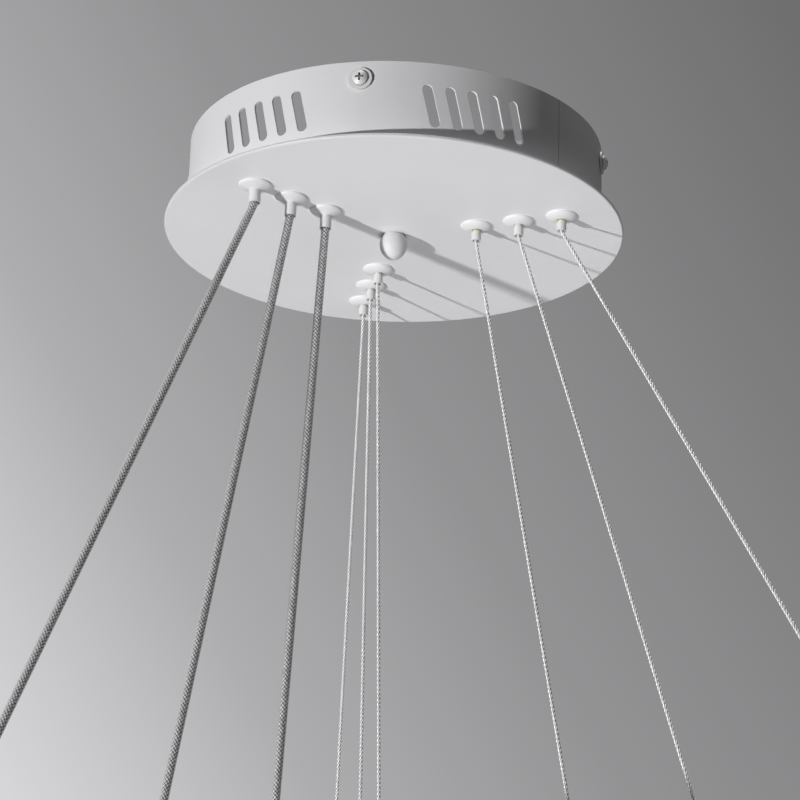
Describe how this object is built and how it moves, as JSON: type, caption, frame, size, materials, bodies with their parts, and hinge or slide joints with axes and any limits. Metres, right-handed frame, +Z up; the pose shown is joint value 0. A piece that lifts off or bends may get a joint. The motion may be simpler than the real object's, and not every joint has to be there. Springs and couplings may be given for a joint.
{
  "type": "led pendant light",
  "caption": "Pendant light: a round vented ceiling canopy with grippers and cord glands carries hung LED rings on wires.",
  "frame": {"origin": "centre of the ceiling screw circle, in the plane where the bracket meets the ceiling", "axes": "+Z up into the ceiling, +X along the bracket arm that carries the terminal block"},
  "size_m": [0.6199, 0.62, 0.7011],
  "materials": {
    "white_coating": "satin powder coat",
    "white_plastic": "satin",
    "driver_plastic": "matt",
    "circuit_board": "satin",
    "led_board": "white solder mask",
    "terminal_plastic": "matt",
    "lead_sheath": "satin",
    "brass": "satin",
    "cord_braid": "braided metal sleeve",
    "wire_rope": "twisted strands",
    "ring_coating": "satin powder coat",
    "opal_acrylic": "opal",
    "nickel_plate": "bright plated",
    "zinc_steel": "zinc plated"
  },
  "bodies": {
    "canopy": {"ceiling_bracket": "zinc_steel", "canopy_band": "white_coating", "band_joint_strip": "white_coating", "base_plate": "white_coating", "centre_rod": "zinc_steel", "rod_nuts": "zinc_steel", "dome_nut": "white_coating", "side_screws": "nickel_plate", "side_washers": "nickel_plate", "earth_screw": "zinc_steel", "terminal_block": "terminal_plastic", "terminal_screws": "zinc_steel", "driver_case_outer": "driver_plastic", "driver_case_middle": "driver_plastic", "driver_case_inner": "driver_plastic", "driver_lid_outer": "driver_plastic", "driver_lid_middle": "driver_plastic", "driver_lid_inner": "driver_plastic", "driver_board_outer": "circuit_board", "driver_board_middle": "circuit_board", "driver_board_inner": "circuit_board", "driver_nuts": "zinc_steel", "primary_leads": "lead_sheath", "output_leads": "lead_sheath", "power_gland_outer": "white_plastic", "power_gland_middle": "white_plastic", "power_gland_inner": "white_plastic", "gland_nuts": "zinc_steel", "gripper_cores": "brass", "gripper_covers": "white_coating", "gripper_nuts": "zinc_steel", "gripper_springs": "zinc_steel", "power_cord_outer": "cord_braid", "power_cord_middle": "cord_braid", "power_cord_inner": "cord_braid", "wire_outer_a": "wire_rope", "wire_outer_b": "wire_rope", "wire_middle_a": "wire_rope", "wire_middle_b": "wire_rope", "wire_inner_a": "wire_rope", "wire_inner_b": "wire_rope"},
    "plunger_outer_a": {"plunger_outer_a": "brass"},
    "plunger_outer_b": {"plunger_outer_b": "brass"},
    "plunger_middle_a": {"plunger_middle_a": "brass"},
    "plunger_middle_b": {"plunger_middle_b": "brass"},
    "plunger_inner_a": {"plunger_inner_a": "brass"},
    "plunger_inner_b": {"plunger_inner_b": "brass"},
    "ring_outer": {"ring_channel_outer": "ring_coating", "ring_diffuser_outer": "opal_acrylic", "led_strip_outer": "led_board", "ring_fittings_outer": "ring_coating"},
    "ring_middle": {"ring_channel_middle": "ring_coating", "ring_diffuser_middle": "opal_acrylic", "led_strip_middle": "led_board", "ring_fittings_middle": "ring_coating"},
    "ring_inner": {"ring_channel_inner": "ring_coating", "ring_diffuser_inner": "opal_acrylic", "led_strip_inner": "led_board", "ring_fittings_inner": "ring_coating"}
  },
  "joints": [
    {"name": "ring_outer_height", "type": "slide", "parent": "canopy", "child": "ring_outer", "axis": [0, 0, 1], "range_m": [0, 0.12], "deforming": ["power_cord_outer", "wire_outer_a", "wire_outer_b"]},
    {"name": "ring_middle_height", "type": "slide", "parent": "canopy", "child": "ring_middle", "axis": [0, 0, 1], "range_m": [0, 0.12], "deforming": ["power_cord_middle", "wire_middle_a", "wire_middle_b"]},
    {"name": "ring_inner_height", "type": "slide", "parent": "canopy", "child": "ring_inner", "axis": [0, 0, 1], "range_m": [0, 0.12], "deforming": ["power_cord_inner", "wire_inner_a", "wire_inner_b"]},
    {"name": "plunger_outer_a_press", "type": "slide", "parent": "canopy", "child": "plunger_outer_a", "axis": [0, 0, 1], "range_m": [0, 0.0011], "stiffness_N_per_m": 60, "springref_m": -0.002, "deforming": ["gripper_springs"]},
    {"name": "plunger_outer_b_press", "type": "slide", "parent": "canopy", "child": "plunger_outer_b", "axis": [0, 0, 1], "range_m": [0, 0.0011], "stiffness_N_per_m": 60, "springref_m": -0.002, "deforming": ["gripper_springs"]},
    {"name": "plunger_middle_a_press", "type": "slide", "parent": "canopy", "child": "plunger_middle_a", "axis": [0, 0, 1], "range_m": [0, 0.0011], "stiffness_N_per_m": 60, "springref_m": -0.002, "deforming": ["gripper_springs"]},
    {"name": "plunger_middle_b_press", "type": "slide", "parent": "canopy", "child": "plunger_middle_b", "axis": [0, 0, 1], "range_m": [0, 0.0011], "stiffness_N_per_m": 60, "springref_m": -0.002, "deforming": ["gripper_springs"]},
    {"name": "plunger_inner_a_press", "type": "slide", "parent": "canopy", "child": "plunger_inner_a", "axis": [0, 0, 1], "range_m": [0, 0.0011], "stiffness_N_per_m": 60, "springref_m": -0.002, "deforming": ["gripper_springs"]},
    {"name": "plunger_inner_b_press", "type": "slide", "parent": "canopy", "child": "plunger_inner_b", "axis": [0, 0, 1], "range_m": [0, 0.0011], "stiffness_N_per_m": 60, "springref_m": -0.002, "deforming": ["gripper_springs"]}
  ]
}
